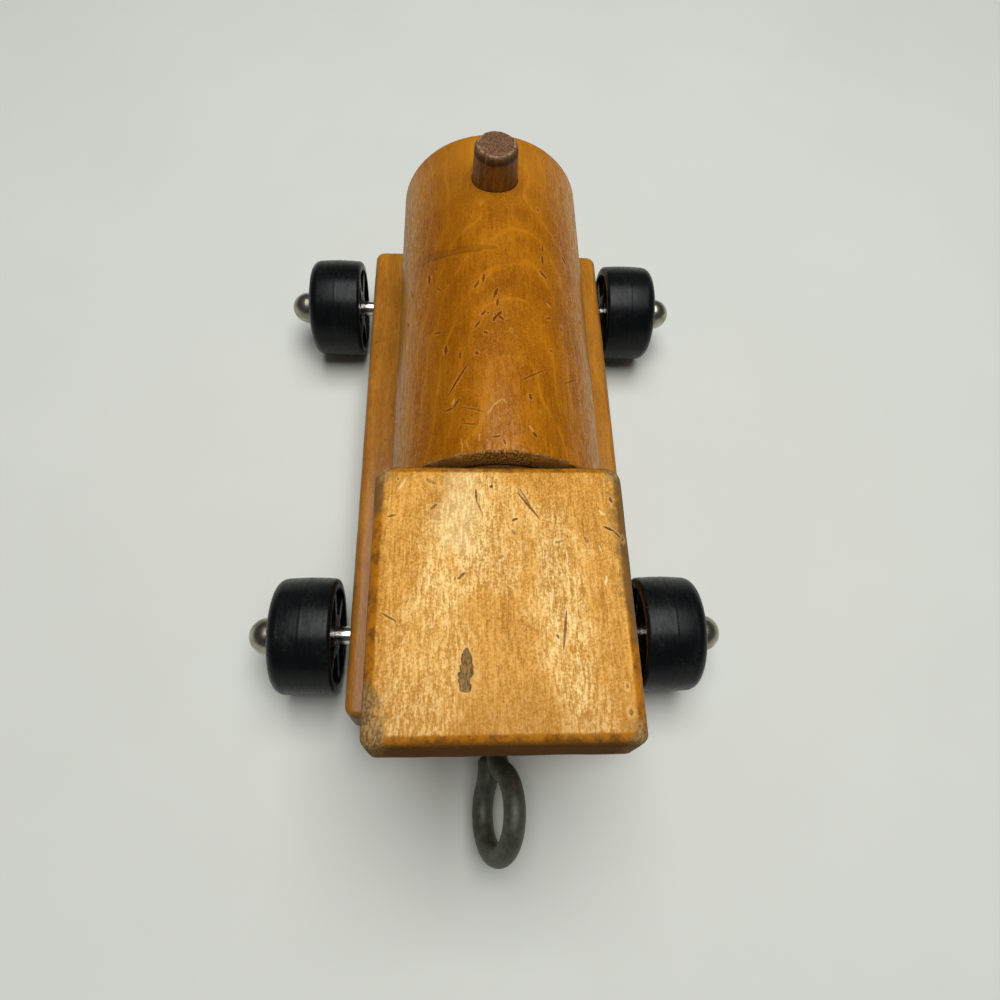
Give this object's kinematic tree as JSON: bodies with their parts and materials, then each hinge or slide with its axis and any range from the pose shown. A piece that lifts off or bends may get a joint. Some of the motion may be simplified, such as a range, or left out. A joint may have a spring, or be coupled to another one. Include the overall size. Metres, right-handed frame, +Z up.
{
  "type": "wooden toy train engine",
  "caption": "Wooden toy train engine with a round boiler, a peg chimney and a slab-roofed cab on a board that rolls on black wheels, with a screw eye at the rear to couple or pull it.",
  "frame": {"origin": "bottom centre of the bounding box, on the floor midway between the axle caps", "axes": "+Y forward to the chimney end, +X to the right, +Z up"},
  "size_m": [0.1642, 0.2441, 0.1082],
  "materials": {
    "board_wood": "amber varnished hardwood, satin, dented",
    "boiler_wood": "deep amber varnished hardwood, glossy, scratched",
    "roof_wood": "golden varnished hardwood, worn edges",
    "dark_wood": "dark brown hardwood dowel, bare worn top",
    "pale_wood": "bare hardwood",
    "black_rubber": "smooth moulded black, scuffed",
    "nickel": "nickel-plated, lightly tarnished",
    "bright_steel": "bright drawn rod",
    "grey_iron": "dull grey iron wire",
    "zinc": "plain slotted wood screws"
  },
  "bodies": {
    "chassis": {"base_board": "board_wood", "boiler": "boiler_wood", "smokestack": "dark_wood", "cab_body": "board_wood", "cab_roof": "roof_wood", "screw_eye": "grey_iron", "boiler_screw_rear": "zinc", "boiler_screw_front": "zinc", "roof_dowel_left": "pale_wood", "roof_dowel_right": "pale_wood", "cab_screw_left": "zinc", "cab_screw_right": "zinc"},
    "rear_axle": {"rear_axle": "bright_steel", "axle_cap_rear_left": "nickel", "axle_cap_rear_right": "nickel"},
    "wheel_rear_left": {"wheel_rear_left": "black_rubber"},
    "wheel_rear_right": {"wheel_rear_right": "black_rubber"},
    "front_axle": {"front_axle": "bright_steel", "axle_cap_front_left": "nickel", "axle_cap_front_right": "nickel"},
    "wheel_front_left": {"wheel_front_left": "black_rubber"},
    "wheel_front_right": {"wheel_front_right": "black_rubber"}
  },
  "joints": [
    {"name": "rear_axle_spin", "type": "hinge", "parent": "chassis", "child": "rear_axle", "pos_m": [0, -0.04865, 0.02], "axis": [1, 0, 0], "continuous": true},
    {"name": "wheel_rear_left_spin", "type": "hinge", "parent": "rear_axle", "child": "wheel_rear_left", "pos_m": [-0.0621, -0.04865, 0.02], "axis": [1, 0, 0], "continuous": true},
    {"name": "wheel_rear_right_spin", "type": "hinge", "parent": "rear_axle", "child": "wheel_rear_right", "pos_m": [0.0621, -0.04865, 0.02], "axis": [1, 0, 0], "continuous": true},
    {"name": "front_axle_spin", "type": "hinge", "parent": "chassis", "child": "front_axle", "pos_m": [0, 0.09735, 0.02], "axis": [1, 0, 0], "continuous": true},
    {"name": "wheel_front_left_spin", "type": "hinge", "parent": "front_axle", "child": "wheel_front_left", "pos_m": [-0.0621, 0.09735, 0.02], "axis": [1, 0, 0], "continuous": true},
    {"name": "wheel_front_right_spin", "type": "hinge", "parent": "front_axle", "child": "wheel_front_right", "pos_m": [0.0621, 0.09735, 0.02], "axis": [1, 0, 0], "continuous": true}
  ]
}
